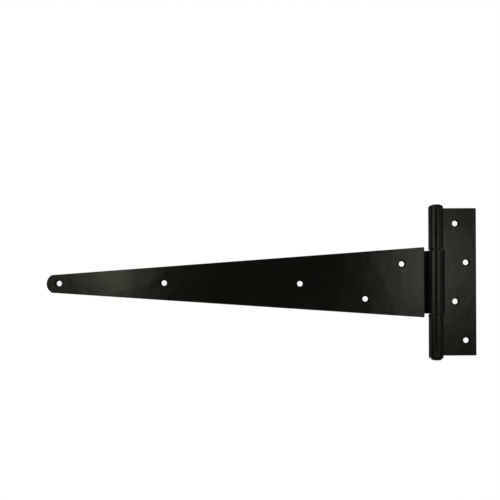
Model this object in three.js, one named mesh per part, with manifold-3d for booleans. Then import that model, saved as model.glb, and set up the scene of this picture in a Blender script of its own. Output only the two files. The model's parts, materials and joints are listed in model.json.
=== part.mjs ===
// Tee hinge: a long tapered strap that swings on a pin held in the rolled edge of a tall plate.
// Millimetres, +Z up. Both leaves lie open with their backs on the plane y = 0 and their fronts
// towards -Y. The origin is the middle of the plate's screw pattern, on the plate's back face.

import * as THREE from 'three';
import { mergeVertices } from 'three/addons/utils/BufferGeometryUtils.js';
import Module from 'manifold-3d';

// Pin
const PIN_RADIUS = 4.5;
const PIN_TOP_HEIGHT = 1.5;
const PIN_TOP_RADIUS = 7.1;
const PIN_TOP_TIP_RADIUS = 5;
const PIN_FOOT_HEIGHT = 3.2;
const PIN_FOOT_RADIUS = 7.5;
const PIN_FOOT_TIP_RADIUS = 4.8;
const PIN_FOOT_RIM = 0.5;

// Rolled knuckles
const BORE_RADIUS = 4.75;
const KNUCKLE_GAP = 0.6;
const HEAD_GAP = 0.3;
const SEAM_GAP = 0.3;
const STRAP_KNUCKLE_LENGTH = 64.7;
const STRAP_DROP = 0.3;

// Strap leaf, measured from the pin's axis
const STRAP_THICKNESS = 3;
const STRAP_LENGTH = 400;
const STRAP_SHOULDER = 10;
const STRAP_SHOULDER_WIDTH = 72.7;
const STRAP_TIP_WIDTH = 18.4;
const STRAP_TIP_RADIUS = 10.5;

// Plate leaf, measured from the pin's axis
const PLATE_THICKNESS = 2.5;
const PLATE_HEIGHT = 152.4;
const PLATE_REACH = 43.6;
const PLATE_NOTCH = 10.6;
const PLATE_JOG = 9;
const PLATE_CORNER_RADIUS = 1;

// Screw holes, each with a small lead on the front face
const HOLE_RADIUS = 2.9;
const HOLE_LEAD = 1.1;
const HOLE_INNER_COLUMN = 22.1;
const HOLE_OUTER_COLUMN = 33.2;
const HOLE_NEAR_ROW = 20.2;
const HOLE_FAR_ROW = 60.5;

// Strap holes: distance from the pin's axis, and offset above the strap's centre line
const STRAP_HOLES = [
  [33.2, 19.1],
  [71, -16.9],
  [138.6, -0.9],
  [279.1, 0.4],
  [387.7, 0.4],
];

// Plate holes: distance from the pin's axis, and height
const PLATE_HOLES = [
  [HOLE_INNER_COLUMN, HOLE_FAR_ROW],
  [HOLE_OUTER_COLUMN, HOLE_NEAR_ROW],
  [HOLE_INNER_COLUMN, -HOLE_NEAR_ROW],
  [HOLE_OUTER_COLUMN, -HOLE_FAR_ROW],
];

// Satin black powder coat
const COAT_COLOR = 0x0d0d0c;
const COAT_ROUGHNESS = 0.2;

const ARC_STEP = THREE.MathUtils.degToRad(7.5);
const HOLE_SEGMENTS = 32;
const PIN_SEGMENTS = 48;
const OVERCUT = 1;

const QUARTER_TURN = Math.PI / 2;
const FULL_TURN = Math.PI * 2;
const AXIS_X = -(HOLE_INNER_COLUMN + HOLE_OUTER_COLUMN) / 2;
const AXIS_DEPTH = BORE_RADIUS + STRAP_THICKNESS;
const TOWARDS_STRAP = -1;
const TOWARDS_PLATE = 1;

const wasm = await Module();
wasm.setup();

function toSolid(geometry) {
  const bare = geometry.clone();
  bare.deleteAttribute('normal');
  bare.deleteAttribute('uv');
  const merged = mergeVertices(bare);
  const mesh = new wasm.Mesh({
    numProp: 3,
    vertProperties: new Float32Array(merged.attributes.position.array),
    triVerts: new Uint32Array(merged.index.array),
  });
  return new wasm.Manifold(mesh);
}

function toGeometry(solid) {
  const mesh = solid.getMesh();
  const geometry = new THREE.BufferGeometry();
  geometry.setAttribute('position', new THREE.BufferAttribute(mesh.vertProperties, 3));
  geometry.setIndex(new THREE.BufferAttribute(mesh.triVerts, 1));
  geometry.computeVertexNormals();
  return geometry;
}

function arcPoints(centre, radius, startAngle, endAngle) {
  const steps = Math.ceil(Math.abs(endAngle - startAngle) / ARC_STEP);
  return Array.from({ length: steps + 1 }, (_, i) => {
    const angle = startAngle + ((endAngle - startAngle) * i) / steps;
    return new THREE.Vector2(
      centre.x + radius * Math.cos(angle),
      centre.y + radius * Math.sin(angle),
    );
  });
}

// Section of a knuckle: the sheet leaves its leaf, passes behind the pin, and wraps over the
// front until its cut end closes on the leaf's front face. The x of each point is the distance
// from the axis towards the leaf, and its y the distance behind the axis.
function knuckleSection(thickness, neckEnd, jogStart) {
  const outerRadius = BORE_RADIUS + thickness;
  const closeAngle = Math.asin((BORE_RADIUS - SEAM_GAP) / outerRadius);
  const axis = new THREE.Vector2(0, 0);
  return [
    new THREE.Vector2(neckEnd, AXIS_DEPTH),
    new THREE.Vector2(jogStart, AXIS_DEPTH),
    ...arcPoints(axis, outerRadius, QUARTER_TURN, FULL_TURN + closeAngle),
    ...arcPoints(axis, BORE_RADIUS, FULL_TURN + closeAngle, QUARTER_TURN),
    new THREE.Vector2(jogStart, AXIS_DEPTH - thickness),
    new THREE.Vector2(neckEnd, AXIS_DEPTH - thickness),
  ];
}

function knuckle(section, direction, bottom, top) {
  const points = section.map((point) => new THREE.Vector2(direction * point.x, point.y));
  const geometry = new THREE.ExtrudeGeometry(new THREE.Shape(points), {
    depth: top - bottom,
    bevelEnabled: false,
  });
  geometry.translate(AXIS_X, -AXIS_DEPTH, bottom);
  return toSolid(geometry);
}

// A flat leaf, from an outline whose x is the distance from the axis and y the height
function leaf(outline, direction, thickness) {
  const points = outline.map((point) => new THREE.Vector2(direction * point.x, point.y));
  const geometry = new THREE.ExtrudeGeometry(new THREE.Shape(points), {
    depth: thickness,
    bevelEnabled: false,
  });
  geometry.rotateX(QUARTER_TURN);
  geometry.translate(AXIS_X, 0, 0);
  return toSolid(geometry);
}

function drillHoles(solid, holes, direction, thickness) {
  const profile = [
    new THREE.Vector2(0, -thickness - OVERCUT),
    new THREE.Vector2(HOLE_RADIUS + HOLE_LEAD, -thickness - OVERCUT),
    new THREE.Vector2(HOLE_RADIUS + HOLE_LEAD, -thickness),
    new THREE.Vector2(HOLE_RADIUS, -thickness + HOLE_LEAD),
    new THREE.Vector2(HOLE_RADIUS, OVERCUT),
    new THREE.Vector2(0, OVERCUT),
  ];
  return holes.reduce((drilled, [distance, height]) => {
    const drill = new THREE.LatheGeometry(profile, HOLE_SEGMENTS);
    drill.translate(AXIS_X + direction * distance, 0, height);
    return drilled.subtract(toSolid(drill));
  }, solid);
}

function strapOutline() {
  const halfTip = STRAP_TIP_WIDTH / 2;
  const tipCentre = new THREE.Vector2(STRAP_LENGTH - STRAP_TIP_RADIUS, 0);
  const tipAngle = Math.asin(halfTip / STRAP_TIP_RADIUS);
  return [
    new THREE.Vector2(STRAP_SHOULDER, -STRAP_SHOULDER_WIDTH / 2),
    ...arcPoints(tipCentre, STRAP_TIP_RADIUS, -tipAngle, tipAngle),
    new THREE.Vector2(STRAP_SHOULDER, STRAP_SHOULDER_WIDTH / 2),
  ];
}

function plateOutline() {
  const halfHeight = PLATE_HEIGHT / 2;
  const cornerX = PLATE_REACH - PLATE_CORNER_RADIUS;
  const cornerZ = halfHeight - PLATE_CORNER_RADIUS;
  const lowCorner = new THREE.Vector2(cornerX, -cornerZ);
  const highCorner = new THREE.Vector2(cornerX, cornerZ);
  return [
    new THREE.Vector2(PLATE_NOTCH, -halfHeight),
    ...arcPoints(lowCorner, PLATE_CORNER_RADIUS, -QUARTER_TURN, 0),
    ...arcPoints(highCorner, PLATE_CORNER_RADIUS, 0, QUARTER_TURN),
    new THREE.Vector2(PLATE_NOTCH, halfHeight),
  ];
}

function strapLeaf() {
  const half = STRAP_KNUCKLE_LENGTH / 2;
  const section = knuckleSection(STRAP_THICKNESS, STRAP_SHOULDER + OVERCUT, STRAP_SHOULDER);
  const flat = leaf(strapOutline(), TOWARDS_STRAP, STRAP_THICKNESS);
  const joined = flat.add(knuckle(section, TOWARDS_STRAP, -half, half));
  return toGeometry(drillHoles(joined, STRAP_HOLES, TOWARDS_STRAP, STRAP_THICKNESS));
}

function plateLeaf() {
  const inner = STRAP_KNUCKLE_LENGTH / 2 + KNUCKLE_GAP;
  const outer = PLATE_HEIGHT / 2;
  const section = knuckleSection(PLATE_THICKNESS, PLATE_NOTCH + OVERCUT, PLATE_JOG);
  const flat = leaf(plateOutline(), TOWARDS_PLATE, PLATE_THICKNESS);
  const joined = flat
    .add(knuckle(section, TOWARDS_PLATE, inner, outer))
    .add(knuckle(section, TOWARDS_PLATE, -outer, -inner));
  return toGeometry(drillHoles(joined, PLATE_HOLES, TOWARDS_PLATE, PLATE_THICKNESS));
}

// The pin's top end is peened to a blunt cone, and its foot is a low round head
function hingePin() {
  const seat = PLATE_HEIGHT / 2 + HEAD_GAP;
  const footRim = seat + PIN_FOOT_RIM;
  const footDrop = PIN_FOOT_HEIGHT - PIN_FOOT_RIM;
  const footTaper = PIN_FOOT_RADIUS - PIN_FOOT_TIP_RADIUS;
  const footSteps = 4;
  const footRound = Array.from({ length: footSteps + 1 }, (_, i) => {
    const angle = QUARTER_TURN * (1 - i / footSteps);
    return new THREE.Vector2(
      PIN_FOOT_TIP_RADIUS + footTaper * Math.cos(angle),
      -footRim - footDrop * Math.sin(angle),
    );
  });
  const profile = [
    new THREE.Vector2(0, -seat - PIN_FOOT_HEIGHT),
    ...footRound,
    new THREE.Vector2(PIN_FOOT_RADIUS, -seat),
    new THREE.Vector2(PIN_RADIUS, -seat),
    new THREE.Vector2(PIN_RADIUS, seat),
    new THREE.Vector2(PIN_TOP_RADIUS, seat),
    new THREE.Vector2(PIN_TOP_TIP_RADIUS, seat + PIN_TOP_HEIGHT),
    new THREE.Vector2(0, seat + PIN_TOP_HEIGHT),
  ];
  const geometry = new THREE.LatheGeometry(profile, PIN_SEGMENTS);
  geometry.rotateX(QUARTER_TURN);
  return geometry;
}

function coatMaterial() {
  return new THREE.MeshStandardMaterial({
    color: COAT_COLOR,
    roughness: COAT_ROUGHNESS,
    metalness: 0,
  });
}

function namedMesh(name, geometry, material) {
  const mesh = new THREE.Mesh(geometry, material);
  mesh.name = name;
  return mesh;
}

const hinge = new THREE.Group();

// The strap hangs low in its end play, resting towards the plate's lower knuckle
const strap = namedMesh('strap_leaf', strapLeaf(), coatMaterial());
strap.position.set(0, 0, -STRAP_DROP);
hinge.add(strap);

hinge.add(namedMesh('plate_leaf', plateLeaf(), coatMaterial()));

const pin = namedMesh('hinge_pin', hingePin(), coatMaterial());
pin.position.set(AXIS_X, -AXIS_DEPTH, 0);
hinge.add(pin);

export default hinge;
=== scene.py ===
import json
import math
from collections import namedtuple

import bmesh
import bpy
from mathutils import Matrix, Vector
from mathutils.geometry import delaunay_2d_cdt


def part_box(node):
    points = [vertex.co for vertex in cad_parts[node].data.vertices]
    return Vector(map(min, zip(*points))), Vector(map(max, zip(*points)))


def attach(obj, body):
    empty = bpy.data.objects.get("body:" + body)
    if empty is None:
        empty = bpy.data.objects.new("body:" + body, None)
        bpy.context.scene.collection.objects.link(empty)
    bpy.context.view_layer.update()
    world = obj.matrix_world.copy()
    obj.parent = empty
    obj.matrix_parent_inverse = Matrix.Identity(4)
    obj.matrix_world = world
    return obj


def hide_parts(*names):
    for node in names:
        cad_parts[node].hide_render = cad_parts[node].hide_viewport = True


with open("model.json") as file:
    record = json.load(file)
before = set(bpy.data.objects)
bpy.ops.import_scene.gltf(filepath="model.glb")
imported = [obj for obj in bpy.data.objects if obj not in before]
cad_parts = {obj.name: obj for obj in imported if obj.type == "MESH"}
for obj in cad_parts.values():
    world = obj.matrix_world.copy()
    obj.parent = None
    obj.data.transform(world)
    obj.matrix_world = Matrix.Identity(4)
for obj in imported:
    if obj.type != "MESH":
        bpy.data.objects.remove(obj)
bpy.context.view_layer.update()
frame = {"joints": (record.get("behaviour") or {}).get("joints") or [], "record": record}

MM = 0.001
QUARTER = math.pi / 2

# ---------------------------------------------------------------- sizes, in metres

AXIS = Vector(frame["joints"][0]["pos_m"])
PLATE_LOW, PLATE_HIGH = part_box("plate_leaf")
STRAP_LOW, STRAP_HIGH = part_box("strap_leaf")
PIN_LOW, PIN_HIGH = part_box("hinge_pin")

AXIS_DEPTH = PLATE_HIGH.y - AXIS.y
STRAP_ROLL = AXIS.y - STRAP_LOW.y
PLATE_ROLL = AXIS.y - PLATE_LOW.y
BORE_RADIUS = 4.75 * MM
STRAP_THICKNESS = STRAP_ROLL - BORE_RADIUS
PLATE_THICKNESS = PLATE_ROLL - BORE_RADIUS
STRAP_LENGTH = AXIS.x - STRAP_LOW.x
PLATE_REACH = PLATE_HIGH.x - AXIS.x
SEAM_GAP = 0.3 * MM

STRAP_SHOULDER = 10 * MM
STRAP_TIP_WIDTH = 18.4 * MM
STRAP_TIP_RADIUS = 10.5 * MM
STRAP_KNUCKLE_LENGTH = 64.7 * MM
KNUCKLE_GAP = 0.6 * MM
PLATE_NOTCH = 10.6 * MM
PLATE_JOG = 9 * MM
NECK_DIP = 0.3 * MM
NECK_START = 11.5 * MM
NECK_END = 2.5 * MM

# The pin's radii, the heights of its rims, and the rounds on its corners.
PIN_SHANK = 4.5 * MM
PIN_HEAD = 7.1 * MM
PIN_HEAD_EDGE = 0.15 * MM
PIN_HEAD_UNDERCUT = 0.1 * MM
PIN_HEAD_TIP = 5 * MM
PIN_HEAD_TIP_ROUND = 0.6 * MM
PIN_HEAD_ROUND = 0.25 * MM
PIN_HEAD_UNDER_ROUND = 0.05 * MM
PIN_SHANK_ROUND = 0.1 * MM
PIN_FOOT = 7.5 * MM
PIN_FOOT_RIM = 0.5 * MM
PIN_FOOT_TIP = 4.8 * MM
PIN_FOOT_SEAT_ROUND = 0.15 * MM
PIN_FOOT_ROUND = 1 * MM
PIN_END_CAP = 1 * MM
HEAD_GAP = 0.3 * MM

HOLE_RADIUS = 2.8 * MM
HOLE_LEAD = 1.2 * MM
HOLE_LEAD_DEPTH = 1.6 * MM

FRONT_ROUND = 0.7 * MM
BACK_ROUND = 0.45 * MM
LEAD_ROUND = 0.2 * MM
CORNER = 1 * MM
FLAT_RUN = 2 * MM

ARC_STEP = math.radians(5)
TIP_STEP = math.radians(4)
CORNER_STEP = math.radians(15)
STAGE_STEP = math.radians(6)
NECK_STEPS = 12
EDGE_STEPS = 4
HOLE_SEGMENTS = 72
PIN_SEGMENTS = 96
SHARPEST_MITRE = 0.3

# How delaunay_2d_cdt fills a face: only inside its edges, merging points this close in mm.
INSIDE_ONLY = 1
MERGE_DISTANCE = 1e-5


# ---------------------------------------------------------------- outlines and profiles

def arc(centre, radius, start, end, step=CORNER_STEP):
    """Points on an arc in a plane, both ends included."""
    count = max(2, math.ceil(abs(end - start) / step))
    angles = [start + (end - start) * i / count for i in range(count + 1)]
    return [
        Vector((centre[0] + radius * math.cos(angle), centre[1] + radius * math.sin(angle)))
        for angle in angles
    ]


def rounded(corners):
    """A closed outline from (point, radius) pairs, with each corner turned into an arc."""
    points = []
    for i, (here, radius) in enumerate(corners):
        if radius <= 0:
            points.append(here.copy())
            continue
        before = (corners[i - 1][0] - here).normalized()
        after = (corners[(i + 1) % len(corners)][0] - here).normalized()
        half = before.angle(after) / 2
        centre = here + (before + after).normalized() * radius / math.sin(half)
        reach = radius / math.tan(half)
        first = here + before * reach - centre
        last = here + after * reach - centre
        start = math.atan2(first.y, first.x)
        points += arc(centre, radius, start, start - first.angle_signed(last))
    return points


def inward(outline):
    """At each point of a closed anticlockwise outline, the way in and how far a unit of inset goes."""
    ways = []
    for i, here in enumerate(outline):
        ahead = (outline[(i + 1) % len(outline)] - here).normalized()
        behind = (here - outline[i - 1]).normalized()
        left = Vector((-ahead.y, ahead.x))
        way = (left + Vector((-behind.y, behind.x))).normalized()
        ways.append((way, 1 / max(SHARPEST_MITRE, way.dot(left))))
    return ways


def rounded_profile(corners):
    """(point, normal, exposure) along an open profile with the solid on its right.

    corners are (x, y, radius), and each but the first and last becomes an arc. The exposure is
    1 on the crest of an outer corner, where a coat wears first, and 0 on the flats.
    """
    points = [Vector(corner[:2]) for corner in corners]
    ways = [(b - a).normalized() for a, b in zip(points, points[1:])]
    normals = [Vector((-way.y, way.x)) for way in ways]
    profile = [(points[0], normals[0], 0)]
    for i in range(1, len(points) - 1):
        before, after, radius = normals[i - 1], normals[i], corners[i][2]
        turn = -before.angle_signed(after)
        reach = radius * math.tan(abs(turn) / 2)
        bulge = math.copysign(radius, -turn)
        centre = points[i] - ways[i - 1] * reach - before * bulge
        for step in range(EDGE_STEPS + 1):
            angle = turn * step / EDGE_STEPS
            normal = Vector((
                before.x * math.cos(angle) - before.y * math.sin(angle),
                before.x * math.sin(angle) + before.y * math.cos(angle),
            ))
            exposure = math.sin(math.pi * step / EDGE_STEPS) if bulge > 0 else 0
            profile.append((centre + normal * bulge, normal, exposure))
    profile.append((points[-1], normals[-1], 0))
    return profile


def edge_profile(thickness):
    """(inset, height above the back face), normal and exposure over a rounded sheet edge."""
    return rounded_profile([
        (FLAT_RUN, 0, 0),
        (0, 0, BACK_ROUND),
        (0, thickness, FRONT_ROUND),
        (FLAT_RUN, thickness, 0),
    ])[1:-1]


def hole_profile(thickness):
    """(radius, height above the back face), normal and exposure over a screw hole's wall."""
    mouth = HOLE_RADIUS + HOLE_LEAD
    return rounded_profile([
        (mouth + FLAT_RUN, 0, 0),
        (HOLE_RADIUS, 0, LEAD_ROUND),
        (HOLE_RADIUS, thickness - HOLE_LEAD_DEPTH, LEAD_ROUND),
        (mouth, thickness, LEAD_ROUND),
        (mouth + FLAT_RUN, thickness, 0),
    ])[1:-1]


# ---------------------------------------------------------------- leaves, cut flat and then rolled

# direction is the leaf's way along X from the axis, roll its knuckle's outer radius, jog the
# length over which its flat drops to the common back plane, dip the depth of its neck groove,
# and middle the height of its centre line.
Leaf = namedtuple("Leaf", "direction thickness roll jog dip middle")
STRAP = Leaf(-1, STRAP_THICKNESS, STRAP_ROLL, 0, NECK_DIP, (STRAP_LOW.z + STRAP_HIGH.z) / 2)
PLATE = Leaf(1, PLATE_THICKNESS, PLATE_ROLL, PLATE_JOG, 0, 0)


def wrap_angle(leaf):
    """How far a knuckle's sheet turns, from behind the pin to where its cut end closes."""
    return QUARTER * 3 + math.asin((BORE_RADIUS - SEAM_GAP) / leaf.roll)


def rolled_length(leaf):
    return wrap_angle(leaf) * (leaf.roll - leaf.thickness / 2)


def neck_groove(leaf, along):
    """Depth and slope of the shallow groove that the rolling tool leaves across a leaf's neck."""
    width = NECK_START - NECK_END
    share = (NECK_START - along) / width
    if not 0 < share < 1:
        return 0, 0
    turn = math.tau * share
    return leaf.dip * (1 - math.cos(turn)) / 2, -leaf.dip * math.pi * math.sin(turn) / width


def jog_depth(leaf, along):
    """How far a flat's back face lies behind the axis, and its slope there."""
    if along >= leaf.jog:
        return AXIS_DEPTH, 0
    share = along / leaf.jog
    drop = AXIS_DEPTH - leaf.roll
    ease = share * share * (3 - 2 * share)
    return leaf.roll + drop * ease, 6 * share * (1 - share) * drop / leaf.jog


def bend(leaf, along, height, above, normal):
    """Where a point of the flat blank, and its normal, end up once the sheet is rolled.

    along is the distance from the axis, and negative on the stretch that is rolled round the
    pin; above is the distance from the back face. The normal is (along, height, above).
    """
    height += leaf.middle
    depth, groove_slope = neck_groove(leaf, along)
    raised = above / leaf.thickness
    above -= depth * raised
    if along >= 0:
        back, slope = jog_depth(leaf, along)
        point = Vector((AXIS.x + leaf.direction * along, AXIS.y + back - above, height))
        run = Vector((leaf.direction, slope, 0)).normalized()
        front = Vector((leaf.direction * slope, -1, 0)).normalized()
    else:
        angle = -along / (leaf.roll - leaf.thickness / 2)
        run = Vector((leaf.direction * math.cos(angle), math.sin(angle), 0))
        front = Vector((leaf.direction * math.sin(angle), -math.cos(angle), 0))
        point = Vector((AXIS.x, AXIS.y, height)) - front * (leaf.roll - above)
    across, upright, out = normal
    across += out * groove_slope * raised
    return point, run * across + Vector((0, 0, upright)) + front * out


def tab_stations(leaf):
    """Distances from the axis where a rolled tab is cut across, from its leaf to its end."""
    # The plate's tabs start where its jog ends, and the strap's just inside its shoulder.
    first = leaf.jog or STRAP_SHOULDER - CORNER
    flat = [first * (1 - i / NECK_STEPS) for i in range(NECK_STEPS)]
    count = math.ceil(wrap_angle(leaf) / ARC_STEP)
    return flat + [-(rolled_length(leaf) - CORNER) * i / count for i in range(count + 1)]


def tab_sides(leaf, low, high):
    """A tab's lower and upper side and the corners at its end, each from the leaf outwards."""
    stations = tab_stations(leaf)
    corner = CORNER - rolled_length(leaf)
    lower = [Vector((along, low)) for along in stations]
    upper = [Vector((along, high)) for along in stations]
    turn_low = arc((corner, low + CORNER), CORNER, -QUARTER, -math.pi)[1:]
    turn_high = arc((corner, high - CORNER), CORNER, QUARTER, math.pi)[1:]
    return lower, upper, turn_low, turn_high


def strap_blank():
    """The strap's flat outline, anticlockwise, and the lines across its neck and tab."""
    half = STRAP_KNUCKLE_LENGTH / 2
    shoulder = (STRAP_HIGH.z - STRAP_LOW.z) / 2
    tip_angle = math.asin(STRAP_TIP_WIDTH / 2 / STRAP_TIP_RADIUS)
    tip_centre = Vector((STRAP_LENGTH - STRAP_TIP_RADIUS, 0))
    tip = arc(tip_centre, STRAP_TIP_RADIUS, -tip_angle, tip_angle, TIP_STEP)
    lower, upper, turn_low, turn_high = tab_sides(STRAP, -half, half)
    taper = (Vector((STRAP_SHOULDER, shoulder)) - tip[-1]).normalized()
    neck_high = Vector((STRAP_SHOULDER, shoulder)) - taper * (NECK_START - STRAP_SHOULDER)
    neck_low = Vector((neck_high.x, -neck_high.y))
    body = rounded([
        (lower[0], 0),
        (Vector((STRAP_SHOULDER, -half)), CORNER / 2),
        (Vector((STRAP_SHOULDER, -shoulder)), CORNER),
        (neck_low, 0),
        (tip[0], CORNER),
        *((point, 0) for point in tip[1:-1]),
        (tip[-1], CORNER),
        (neck_high, 0),
        (Vector((STRAP_SHOULDER, shoulder)), CORNER),
        (Vector((STRAP_SHOULDER, half)), CORNER / 2),
        (upper[0], 0),
    ])
    outline = body[1:-1] + upper + turn_high + turn_low[::-1] + lower[::-1]
    return outline, [(neck_low, neck_high), *zip(lower, upper)]


def plate_blank():
    """The plate's flat outline, anticlockwise, and the lines across its two tabs."""
    half = PLATE_HIGH.z
    inner = STRAP_KNUCKLE_LENGTH / 2 + KNUCKLE_GAP
    tabs = [tab_sides(PLATE, -half, -inner), tab_sides(PLATE, inner, half)]

    def around(tab):
        lower, upper, turn_low, turn_high = tab
        return upper + turn_high + turn_low[::-1] + lower[::-1]

    notch_turn = CORNER / 2
    notch_x = PLATE_NOTCH - notch_turn
    notch_low = arc((notch_x, notch_turn - inner), notch_turn, QUARTER * 3, math.tau)
    notch_high = arc((notch_x, inner - notch_turn), notch_turn, 0, QUARTER)
    outline = (
        arc((PLATE_REACH - CORNER, CORNER - half), CORNER, -QUARTER, 0)
        + arc((PLATE_REACH - CORNER, half - CORNER), CORNER, 0, QUARTER)
        + around(tabs[1])
        + (notch_low + notch_high)[::-1]
        + around(tabs[0])
    )
    return outline, [pair for tab in tabs for pair in zip(tab[0], tab[1])]


def hole_centres(leaf, prefix):
    """Each screw hole's distance from the axis and height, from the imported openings."""
    centres = []
    for opening in frame["record"]["physics"]["openings"]:
        if opening["name"].startswith(prefix):
            low, high = opening["box_m"]
            along = ((low[0] + high[0]) / 2 - AXIS.x) * leaf.direction
            centres.append(Vector((along, (low[2] + high[2]) / 2 - leaf.middle)))
    return centres


def cap_faces(outer, cross, holes):
    """Triangles that fill the outer loop and leave the holes open, as indices into all points.

    cross holds pairs of points on the outer loop that the triangles have to join.
    """
    points = list(outer)
    owners = [0] * len(outer)
    edges = [(i, (i + 1) % len(outer)) for i in range(len(outer))] + cross
    for number, hole in enumerate(holes, 1):
        first = len(points)
        points += hole
        owners += [number] * len(hole)
        edges += [(first + i, first + (i + 1) % len(hole)) for i in range(len(hole))]
    scaled = [point / MM for point in points]
    _, _, faces, sources, _, _ = delaunay_2d_cdt(scaled, edges, [], INSIDE_ONLY, MERGE_DISTANCE)
    triangles = []
    for face in faces:
        corners = [sources[i][0] for i in face]
        # A triangle with all its corners on one hole's rim lies inside that hole.
        met = {owners[i] for i in corners}
        if met == {0} or len(met) > 1:
            triangles.append(corners)
    return triangles


class Skin:
    """Rings of points with their normals, joined by faces into one closed mesh."""

    def __init__(self):
        self.points = []
        self.normals = []
        self.exposures = []
        self.faces = []

    def ring(self, pairs, exposure):
        """Adds a ring of (point, normal) pairs, and gives the points' numbers."""
        first = len(self.points)
        for point, normal in pairs:
            self.points.append(point)
            self.normals.append(normal)
            self.exposures.append(exposure)
        return list(range(first, len(self.points)))

    def join(self, rings):
        """Joins each ring to the next by a closed band of faces."""
        for lower, upper in zip(rings, rings[1:]):
            for i in range(len(lower)):
                j = (i + 1) % len(lower)
                self.faces.append((lower[i], lower[j], upper[j], upper[i]))

    def piece(self, name):
        """The skin as an object, with the exposures kept for the coat's wear."""
        mesh = bmesh.new()
        verts = [mesh.verts.new(point) for point in self.points]
        for face in self.faces:
            mesh.faces.new([verts[i] for i in face])
        bmesh.ops.recalc_face_normals(mesh, faces=mesh.faces)
        data = bpy.data.meshes.new(name)
        mesh.to_mesh(data)
        mesh.free()
        data.polygons.foreach_set("use_smooth", [True] * len(data.polygons))
        data.normals_split_custom_set_from_vertices([n.normalized() for n in self.normals])
        exposed = data.attributes.new("exposed", "FLOAT", "POINT")
        exposed.data.foreach_set("value", self.exposures)
        piece = bpy.data.objects.new(name, data)
        bpy.context.scene.collection.objects.link(piece)
        return piece


def cut_wall(skin, leaf, profile, ring_at):
    """Adds a cut wall to the skin, ring by ring from the sheet's back face to its front.

    ring_at(reach) gives a ring's points on the flat blank and the way into the sheet at each.
    The wall comes back as its rings' flat points, and as the same points' numbers in the skin.
    """
    flats = []
    rings = []
    for (reach, above), normal, exposure in profile:
        flat, ways = ring_at(reach)
        pairs = [
            bend(leaf, point.x, point.y, above, (normal.x * way.x, normal.x * way.y, normal.y))
            for point, way in zip(flat, ways)
        ]
        flats.append(flat)
        rings.append(skin.ring(pairs, exposure))
    skin.join(rings)
    return flats, rings


def sheet_edge(skin, leaf, outline):
    """The rounded edge all round a leaf, as a cut wall."""
    steps = inward(outline)
    ways = [way for way, _ in steps]

    def ring_at(inset):
        flat = [point + way * inset * stretch for point, (way, stretch) in zip(outline, steps)]
        return flat, ways

    return cut_wall(skin, leaf, edge_profile(leaf.thickness), ring_at)


def screw_hole(skin, leaf, centre):
    """A drilled hole with a lead at its mouth, as a cut wall."""
    def ring_at(radius):
        flat = arc(centre, radius, 0, math.tau, math.tau / HOLE_SEGMENTS)[:-1]
        return flat, [(point - centre).normalized() for point in flat]

    return cut_wall(skin, leaf, hole_profile(leaf.thickness), ring_at)


def leaf_piece(name, leaf, blank, holes):
    """A leaf as one closed mesh, with its holes drilled and its tabs rolled."""
    outline, cross_points = blank
    cross = [(outline.index(a), outline.index(b)) for a, b in cross_points]
    skin = Skin()
    walls = [sheet_edge(skin, leaf, outline)]
    walls += [screw_hole(skin, leaf, hole) for hole in holes]
    for side in (0, -1):
        outer, *inner = [flats[side] for flats, _ in walls]
        places = [place for _, rings in walls for place in rings[side]]
        for corners in cap_faces(outer, cross, inner):
            skin.faces.append([places[i] for i in corners])
    return skin.piece(name)


# ---------------------------------------------------------------- pin

def pin_profile():
    """(radius, height), normal and exposure from the peened tip down to the foot's tip."""
    seat = PLATE_HIGH.z + HEAD_GAP
    return rounded_profile([
        (PIN_END_CAP, PIN_HIGH.z, 0),
        (PIN_HEAD_TIP, PIN_HIGH.z, PIN_HEAD_TIP_ROUND),
        (PIN_HEAD, seat + PIN_HEAD_EDGE, PIN_HEAD_ROUND),
        (PIN_HEAD - PIN_HEAD_UNDERCUT, seat, PIN_HEAD_UNDER_ROUND),
        (PIN_SHANK, seat, PIN_SHANK_ROUND),
        (PIN_SHANK, -seat, PIN_SHANK_ROUND),
        (PIN_FOOT, -seat, PIN_FOOT_SEAT_ROUND),
        (PIN_FOOT, -seat - PIN_FOOT_RIM, PIN_FOOT_ROUND),
        (PIN_FOOT_TIP, PIN_LOW.z, PIN_FOOT_ROUND),
        (PIN_END_CAP, PIN_LOW.z, 0),
    ])


def pin_piece():
    """The pin as a lathe round the joint's axis."""
    skin = Skin()
    turns = [math.tau * i / PIN_SEGMENTS for i in range(PIN_SEGMENTS)]
    ways = [Vector((math.cos(turn), math.sin(turn), 0)) for turn in turns]
    rings = []
    for (radius, height), normal, exposure in pin_profile():
        middle = Vector((AXIS.x, AXIS.y, height))
        lift = Vector((0, 0, normal.y))
        pairs = [(middle + way * radius, way * normal.x + lift) for way in ways]
        rings.append(skin.ring(pairs, exposure))
    skin.join(rings)
    skin.faces.append(rings[0])
    skin.faces.append(rings[-1])
    return skin.piece("hinge_pin_piece")


# ---------------------------------------------------------------- materials

COAT_IOR = 1.5
GLOSSIEST = 0.18
DULLEST = 0.23
TONE_DRIFT = 0.2
RUBBED_TONE = 14
RUBBED_ROUGHNESS = 0.2
WAVE_HEIGHT = 0.28 * MM
PEEL_HEIGHT = 0.03 * MM


def add_noise(tree, place, scale, detail):
    """Noise in the object's own coordinates, with its scale in cells per metre."""
    noise = tree.nodes.new("ShaderNodeTexNoise")
    noise.inputs["Scale"].default_value = scale
    noise.inputs["Detail"].default_value = detail
    tree.links.new(place, noise.inputs["Vector"])
    return noise.outputs["Fac"]


def add_range(tree, value, start, end):
    """A Map Range node that takes values from start to end to the range 0 to 1."""
    node = tree.nodes.new("ShaderNodeMapRange")
    node.inputs["From Min"].default_value = start
    node.inputs["From Max"].default_value = end
    tree.links.new(value, node.inputs["Value"])
    return node


def add_bump(tree, height, strength, distance):
    bump = tree.nodes.new("ShaderNodeBump")
    bump.inputs["Strength"].default_value = strength
    bump.inputs["Distance"].default_value = distance
    tree.links.new(height, bump.inputs["Height"])
    return bump


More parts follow.
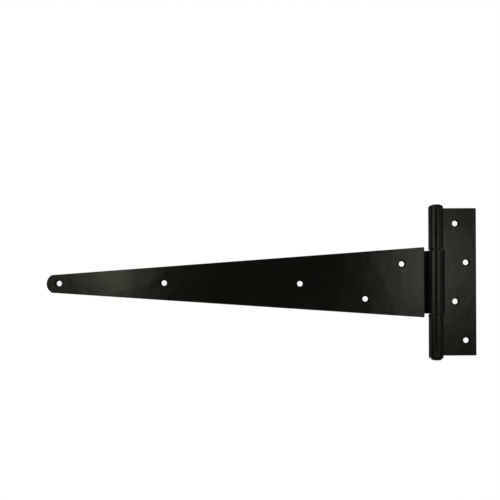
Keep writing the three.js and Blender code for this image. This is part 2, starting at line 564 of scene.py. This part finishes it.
def edge_wear(tree, place):
    """Scuffs that show only where the mesh says that an edge is exposed."""
    edges = tree.nodes.new("ShaderNodeAttribute")
    edges.attribute_name = "exposed"
    scuffs = add_noise(tree, place, scale=160, detail=6)
    worn = add_range(tree, scuffs, start=0.44, end=0.6)
    tree.links.new(edges.outputs["Fac"], worn.inputs["To Max"])
    return worn.outputs["Result"]


def coat_color(tree, place, worn, base):
    """A faint drift of tone, and a paler grey where the coat is rubbed."""
    tone = tree.nodes.new("ShaderNodeValToRGB")
    dark, light = tone.color_ramp.elements
    dark.position = 0.3
    light.position = 0.7
    dark.color = (*[c * (1 - TONE_DRIFT) for c in base], 1)
    light.color = (*[c * (1 + TONE_DRIFT) for c in base], 1)
    tree.links.new(add_noise(tree, place, scale=22, detail=4), tone.inputs["Fac"])
    rubbed = tree.nodes.new("ShaderNodeMix")
    rubbed.data_type = "RGBA"
    rubbed.inputs["B"].default_value = (*[c * RUBBED_TONE for c in base], 1)
    tree.links.new(worn, rubbed.inputs["Factor"])
    tree.links.new(tone.outputs["Color"], rubbed.inputs["A"])
    return rubbed.outputs["Result"]


def coat_roughness(tree, place, worn):
    """Soft patches of gloss, duller where the coat is rubbed."""
    patches = add_range(tree, add_noise(tree, place, scale=35, detail=5), start=0.3, end=0.7)
    patches.inputs["To Min"].default_value = GLOSSIEST
    patches.inputs["To Max"].default_value = DULLEST
    dulled = tree.nodes.new("ShaderNodeMath")
    dulled.operation = "MULTIPLY_ADD"
    dulled.inputs[1].default_value = RUBBED_ROUGHNESS
    tree.links.new(worn, dulled.inputs[0])
    tree.links.new(patches.outputs["Result"], dulled.inputs[2])
    return dulled.outputs["Value"]


def coat_bumps(tree, place):
    """Slow waves in the sheet, with the coat's orange peel on top."""
    waves = add_noise(tree, place, scale=60, detail=1.5)
    wave = add_bump(tree, waves, strength=1, distance=WAVE_HEIGHT)
    pits = add_noise(tree, place, scale=900, detail=2)
    peel = add_bump(tree, pits, strength=0.35, distance=PEEL_HEIGHT)
    tree.links.new(wave.outputs["Normal"], peel.inputs["Normal"])
    return peel.outputs["Normal"]


def powder_coat(name, base):
    """Satin black powder coat, rubbed a little along its exposed edges."""
    material = bpy.data.materials.new(name)
    material.use_nodes = True
    tree = material.node_tree
    shader = tree.nodes["Principled BSDF"]
    shader.inputs["IOR"].default_value = COAT_IOR
    place = tree.nodes.new("ShaderNodeTexCoord").outputs["Object"]
    worn = edge_wear(tree, place)
    tree.links.new(coat_color(tree, place, worn, base), shader.inputs["Base Color"])
    tree.links.new(coat_roughness(tree, place, worn), shader.inputs["Roughness"])
    tree.links.new(coat_bumps(tree, place), shader.inputs["Normal"])
    return material


# ---------------------------------------------------------------- stage, lights and camera

CAMERA_PLACE = Vector((AXIS.x - 0.1468, -0.455, -0.0149))
CAMERA_ROLL = math.radians(0.26)
CAMERA_SENSOR = 36
CAMERA_LENS = 31.57
CAMERA_SHIFT = (-0.084, 0.094)

STAGE_FLOOR = -0.62
STAGE_FRONT = -1.6
STAGE_BACK = 0.85
STAGE_TOP = 1.4
STAGE_SWEEP = 0.3
STAGE_HALF_WIDTH = 3
STAGE_SHADE = (0.12, 0.12, 0.096, 1)

WHITE = (1, 1, 1, 1)
WORLD_SHADE = (1, 1, 0.8, 1)
WORLD_STRENGTH = 0.06

AHEAD = (0, 1, 0)
BACK = (0, -1, 0)
WARM = (1, 1.02, 0.9)

# A soft box: its centre, whose x counts from the camera's, the way it shines, its width and
# height, its radiance in the middle, and its colour.
Panel = namedtuple("Panel", "name centre facing size radiance color")
PANELS = [
    Panel("left_key", (-0.6, -1, 0.12), AHEAD, (0.32, 0.47), 2.35, (1, 1.05, 0.75)),
    Panel("left_top", (-0.8, -1, 0.4), AHEAD, (0.48, 0.5), 2, (1, 0.94, 0.8)),
    Panel("left_side", (-1.11, -0.9, 0.16), (0.8, 0.6, 0), (0.74, 0.9), 1.95, (1, 1.03, 0.83)),
    Panel("right_key", (0.446, -1, 0.086), AHEAD, (0.42, 0.7), 1.4, (1, 1.04, 0.85)),
    Panel("right_fill", (0.8, -1, 0.078), AHEAD, (0.4, 0.8), 1.2, (1, 1.05, 0.88)),
    Panel("right_side", (1, -0.5, 0.16), (-1, 0, 0), (1, 1.28), 0.28, (1, 1.02, 1.1)),
    Panel("floor_front", (0, -1.05, -0.47), (0, 0.2, 0.98), (3, 1.2), 1.3, WARM),
    Panel("back_left", (-0.6, 0.75, 0), BACK, (1, 0.9), 0.8, WARM),
    Panel("back_right", (0.6, 0.75, 0.1), BACK, (0.8, 0.9), 0.4, (1, 1.02, 0.95)),
    Panel("floor_back", (0, 0.5, -0.4), (0, -0.8, 0.6), (2.4, 0.5), 2.2, WARM),
    Panel("left_rear", (-1.2, 0.3, 0.05), (1, 0, 0), (1.2, 1.2), 0.36, WARM),
    Panel("rear_right", (0.95, 0.7, -0.32), (-0.75, -0.62, 0.25), (0.9, 0.5), 0.9, WARM),
    Panel("top_front", (0, -0.95, 0.72), (0, 0.8, -0.6), (2.4, 0.5), 1.1, WARM),
    Panel("top_back", (0, 0.7, 0.6), (0, -0.76, -0.65), (2.4, 0.5), 1.1, WARM),
]


def split_by_camera(tree, lighting, seen, output):
    """Shows the camera one even, bright surface and lights the hinge with another."""
    mix = tree.nodes.new("ShaderNodeMixShader")
    path = tree.nodes.new("ShaderNodeLightPath")
    tree.links.new(path.outputs["Is Camera Ray"], mix.inputs["Fac"])
    tree.links.new(lighting, mix.inputs[1])
    tree.links.new(seen, mix.inputs[2])
    tree.links.new(mix.outputs["Shader"], output.inputs["Surface"])


def stage_paper():
    """A pale paper that looks evenly lit, and reflects only a little light on to the hinge."""
    material = bpy.data.materials.new("stage_paper")
    material.use_nodes = True
    tree = material.node_tree
    tree.nodes.clear()
    glow = tree.nodes.new("ShaderNodeEmission")
    glow.inputs["Color"].default_value = WHITE
    glow.inputs["Strength"].default_value = 1
    matte = tree.nodes.new("ShaderNodeBsdfDiffuse")
    matte.inputs["Color"].default_value = STAGE_SHADE
    output = tree.nodes.new("ShaderNodeOutputMaterial")
    split_by_camera(tree, matte.outputs["BSDF"], glow.outputs["Emission"], output)
    return material


def make_stage():
    """A pale floor that sweeps up into a backdrop well behind the hinge."""
    sweep_centre = (STAGE_BACK - STAGE_SWEEP, STAGE_FLOOR + STAGE_SWEEP)
    section = [
        Vector((STAGE_FRONT, STAGE_FLOOR)),
        *arc(sweep_centre, STAGE_SWEEP, -QUARTER, 0, STAGE_STEP),
        Vector((STAGE_BACK, STAGE_TOP)),
    ]
    mesh = bmesh.new()
    rows = [
        [mesh.verts.new(Vector((side * STAGE_HALF_WIDTH, p.x, p.y))) for side in (-1, 1)]
        for p in section
    ]
    for low, high in zip(rows, rows[1:]):
        mesh.faces.new((low[0], low[1], high[1], high[0]))
    data = bpy.data.meshes.new("stage")
    mesh.to_mesh(data)
    mesh.free()
    data.polygons.foreach_set("use_smooth", [True] * len(data.polygons))
    data.materials.append(stage_paper())
    stage = bpy.data.objects.new("stage", data)
    bpy.context.scene.collection.objects.link(stage)


def make_world():
    """White to the camera, and a dim glow on the hinge from all round."""
    world = bpy.data.worlds.new("studio")
    world.use_nodes = True
    tree = world.node_tree
    tree.nodes.clear()
    seen = tree.nodes.new("ShaderNodeBackground")
    seen.inputs["Color"].default_value = WHITE
    dim = tree.nodes.new("ShaderNodeBackground")
    dim.inputs["Color"].default_value = WORLD_SHADE
    dim.inputs["Strength"].default_value = WORLD_STRENGTH
    output = tree.nodes.new("ShaderNodeOutputWorld")
    split_by_camera(tree, dim.outputs["Background"], seen.outputs["Background"], output)
    bpy.context.scene.world = world


def make_panel(panel):
    """A soft box that the camera doesn't see, brightest in its middle and fading out to its rim."""
    data = bpy.data.lights.new(panel.name, "AREA")
    data.shape = "RECTANGLE"
    data.size, data.size_y = panel.size
    # With this energy, the strength of the panel's own shader is its radiance.
    data.energy = math.pi * data.size * data.size_y
    data.color = panel.color
    data.use_nodes = True
    tree = data.node_tree
    place = tree.nodes.new("ShaderNodeNewGeometry")
    from_middle = tree.nodes.new("ShaderNodeMapping")
    from_middle.inputs["Scale"].default_value = (2, 2, 0)
    from_middle.inputs["Location"].default_value = (-1, -1, 0)
    distance = tree.nodes.new("ShaderNodeVectorMath")
    distance.operation = "LENGTH"
    fade = tree.nodes.new("ShaderNodeMapRange")
    fade.interpolation_type = "SMOOTHSTEP"
    fade.inputs["To Min"].default_value = panel.radiance
    fade.inputs["To Max"].default_value = 0
    tree.links.new(place.outputs["Parametric"], from_middle.inputs["Vector"])
    tree.links.new(from_middle.outputs["Vector"], distance.inputs["Vector"])
    tree.links.new(distance.outputs["Value"], fade.inputs["Value"])
    tree.links.new(fade.outputs["Result"], tree.nodes["Emission"].inputs["Strength"])
    light = bpy.data.objects.new(panel.name, data)
    light.location = (CAMERA_PLACE.x + panel.centre[0], *panel.centre[1:])
    light.rotation_mode = "QUATERNION"
    light.rotation_quaternion = Vector(panel.facing).to_track_quat("-Z", "Y")
    light.visible_camera = False
    bpy.context.scene.collection.objects.link(light)


def make_camera():
    """Square on to the leaves, level with the hinge's lower half and left of its pin."""
    scene = bpy.context.scene
    data = bpy.data.cameras.new("camera")
    data.sensor_width = CAMERA_SENSOR
    data.lens = CAMERA_LENS
    data.shift_x, data.shift_y = CAMERA_SHIFT
    camera = bpy.data.objects.new("camera", data)
    camera.location = CAMERA_PLACE
    camera.rotation_euler = (QUARTER, CAMERA_ROLL, 0)
    scene.collection.objects.link(camera)
    scene.camera = camera
    scene.view_settings.view_transform = "Standard"


make_camera()
make_stage()
make_world()
for panel in PANELS:
    make_panel(panel)

# ---------------------------------------------------------------- the hinge

leaf_coat = powder_coat("leaf_coat", (0.004, 0.004, 0.0035))
pin_coat = powder_coat("pin_coat", (0.004, 0.004, 0.0036))

strap = leaf_piece("strap_leaf_piece", STRAP, strap_blank(), hole_centres(STRAP, "strap"))
strap.data.materials.append(leaf_coat)
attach(strap, "strap")
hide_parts("strap_leaf")

plate = leaf_piece("plate_leaf_piece", PLATE, plate_blank(), hole_centres(PLATE, "plate"))
plate.data.materials.append(leaf_coat)
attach(plate, "plate")
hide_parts("plate_leaf")

pin = pin_piece()
pin.data.materials.append(pin_coat)
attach(pin, "plate")
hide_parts("hinge_pin")
